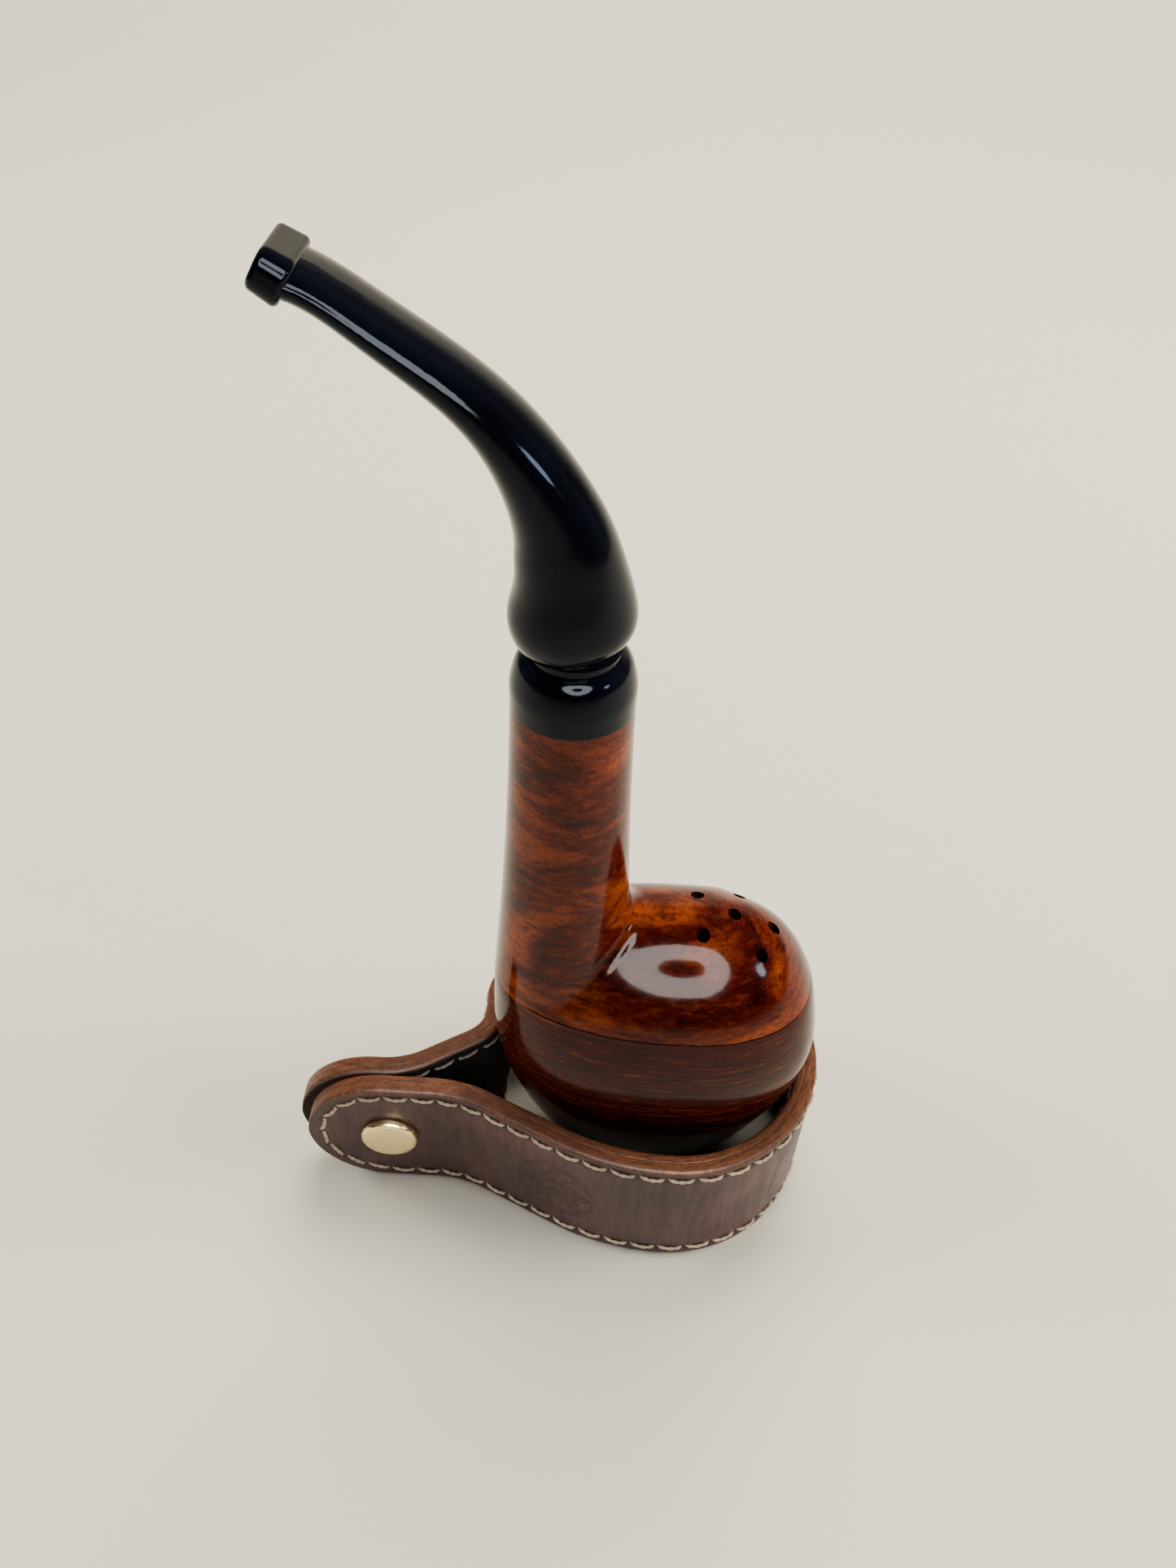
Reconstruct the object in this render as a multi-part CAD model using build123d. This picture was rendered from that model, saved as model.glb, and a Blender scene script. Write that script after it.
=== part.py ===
from build123d import *
import os
from math import asin, copysign, cos, degrees, hypot, pi, radians, sin

# A bent smoking pipe with a closed, perforated bowl, standing in a loop of sewn leather.
# The shank axis is vertical, the bowl lies towards +X and the stem bends back over -X.
# While it is modelled, the shank axis is the Z axis and the floor is z = 0. At the end the whole
# model is moved so that the centre of its footprint is the origin. Millimetres throughout.

# ---- driving dimensions --------------------------------------------------------------------
SEAM_Z = 46.0            # height of the joint between the two halves of the bowl
SEAM_GAP = 0.2           # running gap between the two halves

BOWL_WIDEST_Z = 34.0     # level at which the bowl is widest
BOWL_TOP_Z = 60.2        # top of the dome
BOWL_MID_X = 17.5        # the bowl is widest across at this x
BOWL_REACH_BACK = 28.3   # from there back under the shank
SEAM_REACH_BACK = 28.1   # the same at the seam
BOWL_REACH_FRONT = 23.9  # from there forward
BOWL_HALF_WIDTH = 17.0
BACK_FULLNESS = 2.1      # 2 is an ellipse seen from above, and more is squarer
FRONT_FULLNESS = 2.3
FOOT_TURN = 64.0         # the underside is rounded through this angle, down to a flat foot
FOOT_SHIFT = -0.5        # the foot sits this much further forward

# How fast each side closes in below and above the widest level: 1 is a plain ellipse.
UNDER_HEIGHT = 1.2
UNDER_BACK = 1.2
UNDER_FRONT = 1.85
UNDER_WIDTH = 0.95
DOME_HEIGHT = 1.05
DOME_BACK = 0.9
DOME_FRONT = 0.8
DOME_WIDTH = 1.1

CHAMBER_X = 24.5
CHAMBER_R = 9.75
CHAMBER_FLOOR_Z = 17.0
CHAMBER_CEILING_Z = 54.5
CHAMBER_ROUND = 5.5

AIR_HOLE_R = 1.05
AIR_HOLE_CIRCLE_R = 6.4
AIR_HOLE_CENTRE_X = 25.5
AIR_HOLE_TURNS = (5, 77, 149, 221, 310)

SHANK_FOOT_R = 10.6      # radius of the shank at the seam
SHANK_WAIST_R = 8.7      # and at two thirds of its height
SHANK_WAIST_Z = 77.0
SHANK_TOP_R = 8.1
SHANK_TOP_Z = 98.5
SHANK_BORE_R = 3.3
VALLEY_ROUND = 3.0       # rounding where the dome runs into the shank
VALLEY_MIN_LENGTH = 23.0 # the edges there are longer than any other edge at that height

RING_TOP_Z = 106.2       # top of the rounded shoulder of the shank ring
RING_NECK_R = 5.95
COLLAR_TOP_Z = 107.2
MORTISE_R = 4.6
MORTISE_FLOOR_Z = 90.0

TENON_R = 4.55
TENON_BORE_R = 3.05
TENON_LENGTH = 24.0
TENON_FOOT_Z = 90.5
STEM_BASE_Z = 107.4
AIRWAY_R = 1.2
BUTTON_LENGTH = 3.6
BUTTON_ROUND = 0.7

FILTER_R = 3.0
FILTER_FOOT_Z = 82.0
FILTER_LENGTH = 31.0
FILTER_CAP_LENGTH = 4.0
FILTER_WALL = 0.25

PIVOT_R = 3.2            # journal of the pivot tube
PIVOT_THREAD_R = 3.6     # end screwed into the shank
PIVOT_BORE_R = 2.0
PIVOT_FOOT_Z = 25.5
PIVOT_TOP_Z = 58.0
BUSH_R = 5.5
BUSH_BORE_R = 3.25
BUSH_FOOT_Z = 32.0
WASHER_R = 6.8
WASHER_THICK = 0.9
WELL_FLOOR_Z = 22.0
NUT_FLATS = 9.0
NUT_HEIGHT = 2.8

STRAP_HEIGHT = 26.2
OUTER_PLY = 1.9
LINING_PLY = 1.5
STRAP_THICK = OUTER_PLY + LINING_PLY
LOOP_X = 19.0            # centre of the round end of the loop
LOOP_R = 22.6            # to the middle of the strap's thickness
TAIL_FRONT_X = -41.3     # where the front strap ends
TAIL_BACK_X = -43.1      # and the back strap
TAIL_FRONT_Y = -11.0     # middle of the front strap where the two straps lie together
TAIL_BACK_Y = TAIL_FRONT_Y + STRAP_THICK + 0.1

RIVET_X = -27.6
RIVET_CAP_R = 4.8
RIVET_CAP_HEIGHT = 1.3
RIVET_POST_R = 1.6
RIVET_TUBE_R = 1.95

STITCH_PITCH = 4.4
STITCH_LENGTH = 3.6
STITCH_WIDTH = 0.95
STITCH_PROUD = 0.5
STITCH_ROW_LOW = 2.6     # height of the lower row of stitches
STITCH_ROW_HIGH = STRAP_HEIGHT - 1.9


# ---- wooden bowl ---------------------------------------------------------------------------
def half_oval(reach, half_width, fullness, side):
    """Half of one level of the bowl, in front of (side 1) or behind (side -1) its widest place."""
    points = []
    for turn in range(-90, 91, 30):
        along = cos(radians(turn)) ** (2 / fullness)
        across = abs(sin(radians(turn))) ** (2 / fullness)
        points.append((side * reach * along, half_width * copysign(across, turn)))
    return Spline(*points, tangents=((side, 0), (-side, 0)))


def bowl_ring(z, back, front, half_width, x_mid):
    """One level of the bowl: two half ovals that meet at the widest place."""
    level = Plane((x_mid, 0, z))
    back_half = half_oval(back, half_width, BACK_FULLNESS, -1)
    front_half = half_oval(front, half_width, FRONT_FULLNESS, 1)
    return make_face((level * back_half) + (level * front_half))


def dome_level(turn, back_reach):
    """A level of the bowl above its widest place, at an angle up the side of the dome."""
    narrowing = cos(radians(turn))
    rise = sin(radians(turn)) ** DOME_HEIGHT
    return bowl_ring(BOWL_WIDEST_Z + (BOWL_TOP_Z - BOWL_WIDEST_Z) * rise, back_reach,
                     BOWL_REACH_FRONT * narrowing ** DOME_FRONT,
                     BOWL_HALF_WIDTH * narrowing ** DOME_WIDTH, BOWL_MID_X)


def seam_turn():
    """The angle up the side of the dome at which the seam lies."""
    rise = (SEAM_Z - BOWL_WIDEST_Z) / (BOWL_TOP_Z - BOWL_WIDEST_Z)
    return degrees(asin(rise ** (1 / DOME_HEIGHT)))


def cup_blank():
    """The outside of the lower half, lofted from its flat foot to the seam."""
    levels = []
    foot_sink = sin(radians(FOOT_TURN)) ** UNDER_HEIGHT
    for turn in (FOOT_TURN, 52, 40, 28, 14):
        narrowing = cos(radians(turn))
        sink = sin(radians(turn)) ** UNDER_HEIGHT / foot_sink
        levels.append(bowl_ring(BOWL_WIDEST_Z * (1 - sink),
                                BOWL_REACH_BACK * narrowing ** UNDER_BACK,
                                BOWL_REACH_FRONT * narrowing ** UNDER_FRONT,
                                BOWL_HALF_WIDTH * narrowing ** UNDER_WIDTH,
                                BOWL_MID_X + FOOT_SHIFT * sink))
    seam = seam_turn()
    for share in (0, 0.35, 0.7, 1):
        back_reach = BOWL_REACH_BACK + (SEAM_REACH_BACK - BOWL_REACH_BACK) * share ** 2
        levels.append(dome_level(seam * share, back_reach))
    return loft(levels)


def dome_blank():
    """The outside of the upper half, from the seam to the top, where it runs into the shank."""
    levels = []
    seam = seam_turn()
    for share in (0, 0.13, 0.28, 0.44, 0.6, 0.75, 0.87, 0.97):
        turn = seam + (90 - seam) * share
        back_reach = SEAM_REACH_BACK * (cos(radians(turn)) / cos(radians(seam))) ** DOME_BACK
        levels.append(dome_level(turn, back_reach))
    return loft(levels)


def slab(z_low, z_high):
    """A wide block between two heights, for splitting the bowl."""
    middle = (z_low + z_high) / 2
    return Pos(0, 0, middle) * Box(200, 200, z_high - z_low)


def upright(radius, z_low, z_high, x=0.0):
    """A vertical cylinder between two heights."""
    return Pos(x, 0, (z_low + z_high) / 2) * Cylinder(radius, z_high - z_low)


def turned(profile_points):
    """A solid turned about the shank axis from straight-sided profile points (r, z)."""
    return revolve(make_face(Plane.XZ * Polyline(*profile_points, close=True)), Axis.Z)


def tube(outer, inner, z_low, z_high):
    return upright(outer, z_low, z_high) - upright(inner, z_low - 1, z_high + 1)


def chamber(z_low, z_high, rounded_end):
    """The tobacco chamber between two heights, with one end rounded."""
    space = upright(CHAMBER_R, z_low, z_high, CHAMBER_X)
    end = space.edges().sort_by(Axis.Z)[rounded_end]
    return fillet(end, CHAMBER_ROUND)


def bowl_base():
    lower = cup_blank() & slab(-5, SEAM_Z - SEAM_GAP / 2)
    lower -= chamber(CHAMBER_FLOOR_Z, SEAM_Z + 5, 0)
    lower -= upright(BUSH_R, WELL_FLOOR_Z, SEAM_Z + 5)
    lower -= upright(WASHER_R, SEAM_Z - 1.0, SEAM_Z + 5)
    channel_length = CHAMBER_X - CHAMBER_R
    channel = Cylinder(1.75, channel_length, rotation=(0, 90, 0))
    lower -= Pos(channel_length / 2 + 2, 0, WELL_FLOOR_Z + 2.2) * channel
    return lower


def shank_blank():
    """The shank outside, a gently flared turning."""
    side = Spline((SHANK_FOOT_R, SEAM_Z), (9.55, 61.0), (SHANK_WAIST_R, SHANK_WAIST_Z),
                  (SHANK_TOP_R, SHANK_TOP_Z))
    rest = Polyline((SHANK_TOP_R, SHANK_TOP_Z), (0, SHANK_TOP_Z), (0, SEAM_Z), (SHANK_FOOT_R, SEAM_Z))
    return revolve(make_face(Plane.XZ * (side + rest)), Axis.Z)


def valley_edges(blank):
    """The edges where the side of the dome meets the shank."""
    found = []
    for edge in blank.edges():
        if SEAM_Z + 0.3 < edge.center().Z < BOWL_TOP_Z - 2 and edge.length > VALLEY_MIN_LENGTH:
            found.append(edge)
    return found


def air_holes():
    centres = [(AIR_HOLE_CENTRE_X, 0)]
    for turn in AIR_HOLE_TURNS:
        centres.append((AIR_HOLE_CENTRE_X + AIR_HOLE_CIRCLE_R * cos(radians(turn)),
                        AIR_HOLE_CIRCLE_R * sin(radians(turn))))
    height = 20
    return [Pos(x, y, CHAMBER_CEILING_Z + height / 2 - 3) * Cylinder(AIR_HOLE_R, height)
            for x, y in centres]


def bowl_cap():
    """The upper half of the bowl in one piece with the shank."""
    upper = dome_blank() + shank_blank()
    upper = fillet(valley_edges(upper), VALLEY_ROUND)
    upper = upper & slab(SEAM_Z + SEAM_GAP / 2, SHANK_TOP_Z)
    upper -= chamber(SEAM_Z - 5, CHAMBER_CEILING_Z, -1)
    upper -= upright(SHANK_BORE_R, PIVOT_TOP_Z - 1, MORTISE_FLOOR_Z + 1)
    upper -= upright(PIVOT_THREAD_R, SEAM_Z - 5, PIVOT_TOP_Z)
    upper -= upright(MORTISE_R, MORTISE_FLOOR_Z, SHANK_TOP_Z + 5)
    for hole in air_holes():
        upper -= hole
    return upper


# ---- pivot inside the bowl -----------------------------------------------------------------
def pivot_tube():
    """Hollow pivot: screwed into the shank above, free to turn in the bush below."""
    outside = upright(PIVOT_THREAD_R, SEAM_Z + 0.2, PIVOT_TOP_Z) + upright(PIVOT_R, PIVOT_FOOT_Z, SEAM_Z + 1)
    return outside - upright(PIVOT_BORE_R, PIVOT_FOOT_Z - 1, PIVOT_TOP_Z + 1)


def pivot_bush():
    return tube(BUSH_R, BUSH_BORE_R, BUSH_FOOT_Z, SEAM_Z - 1.0)


def pivot_washer():
    return tube(WASHER_R - 0.2, BUSH_BORE_R + 0.1, SEAM_Z - 1.0, SEAM_Z - 1.0 + WASHER_THICK)


def spring_washer():
    """A dished washer between the nut and the bush."""
    low = BUSH_FOOT_Z - 1.5
    return turned([(PIVOT_R + 0.1, low), (4.4, low), (5.2, low + 0.8), (5.2, low + 1.3),
                   (4.4, low + 0.5), (PIVOT_R + 0.1, low + 0.5)])


def pivot_nut():
    top = BUSH_FOOT_Z - 1.6
    blank = extrude(Plane((0, 0, top)) * RegularPolygon(NUT_FLATS / 2, 6, major_radius=False), -NUT_HEIGHT)
    return blank - upright(PIVOT_R, top - 10, top + 1)


# ---- shank ring, tenon, filter and stem ----------------------------------------------------
def shank_ring():
    """The turned ring on the end of the shank, with a rounded shoulder and a low collar."""
    wall = Line((SHANK_TOP_R, SHANK_TOP_Z), (SHANK_TOP_R + 0.05, SHANK_TOP_Z + 2.6))
    shoulder = Spline((SHANK_TOP_R + 0.05, SHANK_TOP_Z + 2.6), (7.75, SHANK_TOP_Z + 5.2),
                      (RING_NECK_R + 0.15, RING_TOP_Z), tangents=((0, 1), (-1, 0.45)))
    rest = Polyline((RING_NECK_R + 0.15, RING_TOP_Z), (RING_NECK_R, RING_TOP_Z), (RING_NECK_R, COLLAR_TOP_Z),
                    (MORTISE_R, COLLAR_TOP_Z), (MORTISE_R, SHANK_TOP_Z), (SHANK_TOP_R, SHANK_TOP_Z))
    return revolve(make_face(Plane.XZ * (wall + shoulder + rest)), Axis.Z)


# Stem sections from base to button: x and z of the centre, half thickness in the plane of the
# bend, and half width across it.
STEM_SECTIONS = (
    (0.0, STEM_BASE_Z, 6.0, 6.0),
    (-0.3, 109.0, 7.2, 7.2),
    (-0.45, 111.6, 7.9, 7.9),
    (-0.6, 115.0, 7.35, 7.5),
    (-1.1, 118.8, 6.5, 6.8),
    (-2.2, 123.3, 5.6, 6.2),
    (-4.2, 128.0, 4.65, 5.8),
    (-8.6, 134.8, 3.5, 5.5),
    (-14.9, 140.7, 2.75, 5.3),
    (-21.0, 145.0, 2.4, 5.2),
    (-29.1, 149.8, 2.25, 5.1),
)


def section_face(index):
    """The elliptical section at one station, square to the centre line."""
    x, z, half_thick, half_wide = STEM_SECTIONS[index]
    before = STEM_SECTIONS[max(index - 1, 0)]
    after = STEM_SECTIONS[min(index + 1, len(STEM_SECTIONS) - 1)]
    run = Vector(after[0] - before[0], 0, after[1] - before[1])
    if index == 0:
        run = Vector(0, 0, 1)
    station = Plane((x, 0, z), x_dir=(0, 1, 0), z_dir=run)
    return station * Ellipse(half_wide, half_thick)


def button():
    """The raised lip at the mouth end."""
    x, z, half_thick, half_wide = STEM_SECTIONS[-1]
    x_before, z_before = STEM_SECTIONS[-2][:2]
    run = Vector(x - x_before, 0, z - z_before).normalized()
    start = Plane(Vector(x, 0, z) - run * 0.3, x_dir=(0, 1, 0), z_dir=run)
    lip = RectangleRounded(2 * half_wide + 0.4, 2 * half_thick + 0.7, half_thick * 0.95)
    return fillet(extrude(start * lip, BUTTON_LENGTH, taper=5).edges(), BUTTON_ROUND)


def airway():
    points = [(x, 0, z) for x, z, _, _ in STEM_SECTIONS[2:]]
    x, z = STEM_SECTIONS[-1][:2]
    x_before, z_before = STEM_SECTIONS[-2][:2]
    length = hypot(x - x_before, z - z_before)
    beyond = (BUTTON_LENGTH + 2) / length
    points.append((x + (x - x_before) * beyond, 0, z + (z - z_before) * beyond))
    line = Spline(*points)
    mouth = Plane(line @ 0, z_dir=line % 0)
    return sweep(mouth * Circle(AIRWAY_R), path=line)


def stem():
    body = loft([section_face(index) for index in range(len(STEM_SECTIONS))])
    body += button()
    body -= upright(TENON_R, STEM_BASE_Z - 5, TENON_FOOT_Z + TENON_LENGTH)
    body -= airway()
    return body


def stem_tenon():
    return tube(TENON_R, TENON_BORE_R, TENON_FOOT_Z, TENON_FOOT_Z + TENON_LENGTH)


def filter_parts():
    """Paper tube, its two end caps with draught holes, and the charcoal between them."""
    top = FILTER_FOOT_Z + FILTER_LENGTH
    inner = FILTER_R - FILTER_WALL
    paper = tube(FILTER_R, inner, FILTER_FOOT_Z, top)
    caps = []
    for low in (FILTER_FOOT_Z, top - FILTER_CAP_LENGTH):
        cap = upright(inner, low, low + FILTER_CAP_LENGTH)
        for number in range(6):
            angle = radians(60 * number)
            hole = Cylinder(0.4, 3 * FILTER_CAP_LENGTH)
            cap -= Pos(1.6 * cos(angle), 1.6 * sin(angle), low) * hole
        caps.append(cap)
    fill = upright(inner, FILTER_FOOT_Z + FILTER_CAP_LENGTH, top - FILTER_CAP_LENGTH)
    return paper, caps[0], caps[1], fill


# ---- leather stand -------------------------------------------------------------------------
def strap_line():
    """The middle of the strap's thickness: front tail, round the loop, and back to the tail."""
    loop_right = LOOP_X + LOOP_R + 0.1
    loop_half = LOOP_R + 0.1
    corners = [(TAIL_FRONT_X, TAIL_FRONT_Y), (-15.5, TAIL_FRONT_Y), (9.5, -loop_half),
               (loop_right, -loop_half), (loop_right, loop_half), (6.0, loop_half),
               (-11.2, 12.6), (-11.2, 1.0), (-25.0, TAIL_BACK_Y), (TAIL_BACK_X, TAIL_BACK_Y)]
    rounding = [22, 42, LOOP_R, LOOP_R, 24, 7, 7, 14]
    return FilletPolyline(*corners, radius=rounding)


def ply(line, inner_edge, outer_edge):
    """One layer of the strap, swept between two distances outward from the middle line."""
    start = Plane((TAIL_FRONT_X, TAIL_FRONT_Y, STRAP_HEIGHT / 2), x_dir=(0, 1, 0), z_dir=(1, 0, 0))
    thick = outer_edge - inner_edge
    middle = (outer_edge + inner_edge) / 2
    section = start * (Pos(-middle, 0) * Rectangle(thick, STRAP_HEIGHT))
    lifted = Pos(0, 0, STRAP_HEIGHT / 2) * line
    layer = sweep(section, path=lifted)
    return layer & tail_outline()


def tail_outline():
    """Keeps the loop and rounds the end of each strap to half a circle."""
    end_r = STRAP_HEIGHT / 2
    reach = 100
    meeting_y = (TAIL_FRONT_Y + TAIL_BACK_Y) / 2
    front_y = meeting_y - reach / 2
    back_y = meeting_y + reach / 2
    keep = Pos(TAIL_FRONT_X + end_r + reach, 0, end_r) * Box(2 * reach, 2 * reach, STRAP_HEIGHT + 2)
    for end_x, middle_y in ((TAIL_FRONT_X, front_y), (TAIL_BACK_X, back_y)):
        turn_x = end_x + end_r
        keep += Pos(turn_x, middle_y, end_r) * Cylinder(end_r, reach, rotation=(90, 0, 0))
    extra = TAIL_FRONT_X - TAIL_BACK_X
    keep += Pos(TAIL_BACK_X + end_r + extra / 2, back_y, end_r) * Box(extra, reach, STRAP_HEIGHT + 2)
    return keep


def rivet_hole():
    return Pos(RIVET_X, TAIL_FRONT_Y, STRAP_HEIGHT / 2) * Cylinder(RIVET_TUBE_R, 30, rotation=(90, 0, 0))


def stitch(position, forward, outward):
    """One stitch lying on the outer face."""
    plane = Plane(position + outward * (STRAP_THICK / 2 + STITCH_PROUD / 2 + 0.03), x_dir=forward, z_dir=outward)
    return plane * Box(STITCH_LENGTH, STITCH_WIDTH, STITCH_PROUD)


def stitching(line):
    """Two rows along the strap and a half circle of stitches round each tail end."""
    pieces = []
    run_in = STRAP_HEIGHT / 2 / line.length
    count = round(line.length * (1 - 2 * run_in) / STITCH_PITCH)
    for number in range(count):
        place = run_in + (1 - 2 * run_in) * (number + 0.5) / count
        point = line @ place
        forward = line % place
        outward = Vector(forward.Y, -forward.X, 0)
        for height in (STITCH_ROW_LOW, STITCH_ROW_HIGH):
            pieces.append(stitch(Vector(point.X, point.Y, height), forward, outward))
    turn_r = (STITCH_ROW_HIGH - STITCH_ROW_LOW) / 2
    middle_z = (STITCH_ROW_HIGH + STITCH_ROW_LOW) / 2
    around = round(pi * turn_r / STITCH_PITCH)
    for end_x, side_y, out in ((TAIL_FRONT_X, TAIL_FRONT_Y, -1), (TAIL_BACK_X, TAIL_BACK_Y, 1)):
        for number in range(around):
            angle = pi / 2 + pi * (number + 0.5) / around
            centre = Vector(end_x + STRAP_HEIGHT / 2 + turn_r * cos(angle), side_y,
                            middle_z + turn_r * sin(angle))
            forward = Vector(-sin(angle), 0, cos(angle))
            pieces.append(stitch(centre, forward, Vector(0, out, 0)))
    return Compound(children=pieces)


def rivet_cap():
    """Front cap and solid post."""
    face_y = TAIL_FRONT_Y - STRAP_THICK / 2
    post_length = 2 * STRAP_THICK
    dome = Pos(0, 0, RIVET_CAP_HEIGHT / 2) * Cylinder(RIVET_CAP_R, RIVET_CAP_HEIGHT)
    dome = fillet(dome.edges().sort_by(Axis.Z)[-1], RIVET_CAP_HEIGHT * 0.75)
    post = Pos(0, 0, -post_length / 2) * Cylinder(RIVET_POST_R, post_length)
    return Plane((RIVET_X, face_y, STRAP_HEIGHT / 2), x_dir=(1, 0, 0), z_dir=(0, -1, 0)) * (dome + post)


def rivet_back():
    """Back cap with the tube that the post is set into."""
    face_y = TAIL_BACK_Y + STRAP_THICK / 2
    tube_length = 2 * STRAP_THICK
    cap = Pos(0, 0, 0.5) * Cylinder(RIVET_CAP_R, 1.0)
    cap = fillet(cap.edges().sort_by(Axis.Z)[-1], 0.5)
    socket = Pos(0, 0, -tube_length / 2) * (Cylinder(RIVET_TUBE_R, tube_length)
                                            - Cylinder(RIVET_POST_R, tube_length + 1))
    return Plane((RIVET_X, face_y, STRAP_HEIGHT / 2), x_dir=(1, 0, 0), z_dir=(0, 1, 0)) * (cap + socket)


# ---- assembly ------------------------------------------------------------------------------
def build():
    line = strap_line()
    paper, cap_low, cap_high, charcoal = filter_parts()
    half = STRAP_THICK / 2
    joint = half - OUTER_PLY
    return {
        "strap_outer": ply(line, joint, half) - rivet_hole(),
        "strap_lining": ply(line, -half, joint) - rivet_hole(),
        "stitching": stitching(line),
        "rivet_cap": rivet_cap(),
        "rivet_back": rivet_back(),
        "bowl_base": bowl_base(),
        "pivot_bush": pivot_bush(),
        "pivot_washer": pivot_washer(),
        "bowl_cap": bowl_cap(),
        "shank_ring": shank_ring(),
        "pivot_tube": pivot_tube(),
        "spring_washer": spring_washer(),
        "pivot_nut": pivot_nut(),
        "stem": stem(),
        "stem_tenon": stem_tenon(),
        "filter_tube": paper,
        "filter_cap_lower": cap_low,
        "filter_cap_upper": cap_high,
        "filter_charcoal": charcoal,
    }


parts = build()
boxes = [part.bounding_box() for part in parts.values()]
middle_x = (min(box.min.X for box in boxes) + max(box.max.X for box in boxes)) / 2
middle_y = (min(box.min.Y for box in boxes) + max(box.max.Y for box in boxes)) / 2
print(f"shank axis at x {-middle_x:.4f}, y {-middle_y:.4f}")
os.makedirs("parts", exist_ok=True)
for name, part in parts.items():
    export_step(Pos(-middle_x, -middle_y, 0) * part, f"parts/{name}.step")
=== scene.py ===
import math
import random

import bpy
from mathutils import Matrix, Vector


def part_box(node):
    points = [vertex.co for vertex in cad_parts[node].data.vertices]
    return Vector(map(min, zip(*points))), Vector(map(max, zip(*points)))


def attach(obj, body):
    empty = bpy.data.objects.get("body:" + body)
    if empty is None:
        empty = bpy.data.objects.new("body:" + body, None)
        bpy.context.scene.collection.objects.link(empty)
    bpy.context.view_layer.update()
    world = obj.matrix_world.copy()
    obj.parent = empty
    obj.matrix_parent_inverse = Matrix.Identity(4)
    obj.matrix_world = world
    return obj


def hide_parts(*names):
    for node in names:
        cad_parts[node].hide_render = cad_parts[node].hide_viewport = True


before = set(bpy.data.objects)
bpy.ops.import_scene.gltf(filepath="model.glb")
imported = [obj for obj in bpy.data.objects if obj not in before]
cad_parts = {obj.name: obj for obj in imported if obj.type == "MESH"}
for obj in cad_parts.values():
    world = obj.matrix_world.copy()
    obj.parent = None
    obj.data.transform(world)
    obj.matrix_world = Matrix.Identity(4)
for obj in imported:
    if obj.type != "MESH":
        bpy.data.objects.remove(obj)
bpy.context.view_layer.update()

bl_info = {
    "name": "Pipe in a leather stand",
    "version": (1, 0, 0),
    "blender": (4, 5, 0),
    "location": "3D View > Sidebar > Pipe stand",
    "description": "Leather stand, stitching, rivet and finishes for a bent pipe with a perforated bowl",
    "category": "Object",
}

MM = 0.001
FULL_TURN = 2 * math.pi
QUARTER_TURN = math.pi / 2

# The shank's axis stands this far from the middle of the footprint.
SHANK_X = -0.4331
SHANK_Y = 0.0049

# The strap's middle line, corner by corner, and the radius that rounds each corner, in mm.
STRAP_CORNERS = ((-41.3, -11.0), (-15.5, -11.0), (9.5, -22.7), (41.7, -22.7), (41.7, 22.7),
                 (6.0, 22.7), (-11.2, 12.6), (-11.2, 1.0), (-25.0, -7.5), (-43.1, -7.5))
CORNER_RADII = (22, 42, 22.6, 22.6, 24, 7, 7, 14)

# How finely the leather is meshed.
PATH_STEP = 0.25 * MM
FACE_ROWS = 96
BACK_ROWS = 12
OUTER_ROUND_STEPS = 6
INNER_ROUND_STEPS = 4
TAIL_STATIONS = 26
LOOP_STATIONS = 720
JOINT_ROUND = 0.12 * MM    # rounding of a layer along the glued joint

# The embossed rosette and the creases pressed into the outer leather.
ROSETTE_ALONG = 44.2 * MM  # from the tail's end, along the strap
ROSETTE_HEIGHT = 12.6 * MM
ROSETTE_DEPTH = 0.32 * MM
CREASES = 16
CREASE_SPREAD = 7 * MM
HOLE_DEPTH = 0.42 * MM
HOLE_RADIUS = 0.42 * MM
GROOVE_DEPTH = 0.10 * MM
GROOVE_HALF_WIDTH = 0.8 * MM
RIVET_DENT_DEPTH = 0.16 * MM
RIVET_DENT_RADIUS = 4.8 * MM
RIVET_DENT_HALF_WIDTH = 1.1 * MM
HOLE_GRID = 2 * MM         # cell in which stitch holes are looked up

# Thread: each stitch is two strands twisted round each other, bowed over the leather.
STRAND_STEPS = 18
TWISTS = 1.6
STITCH_SINK = 0.30 * MM
STITCH_BOW = 0.22 * MM

# Both sides of the rivet: the CAD node, the piece, the way it faces along Y, the height of its cap and the
# radius of its post. The profile gives the distance from the axis as a share of the cap's radius, and the
# drop below its top as a share of the cap's height.
RIVET_SIDES = (("rivet_cap", "rivet_front", -1, 1.3 * MM, 1.6 * MM),
               ("rivet_back", "rivet_rear", 1, 1.0 * MM, 1.95 * MM))
RIVET_PROFILE = ((0.35, 0.01), (0.6, 0.03), (0.80, 0.06), (0.88, 0.10), (0.94, 0.22), (0.975, 0.40),
                 (0.995, 0.62), (1.0, 0.80), (0.99, 1.0), (0.96, 1.12), (0.4, 1.12))
RIVET_DEPTH = 6.0 * MM

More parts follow.
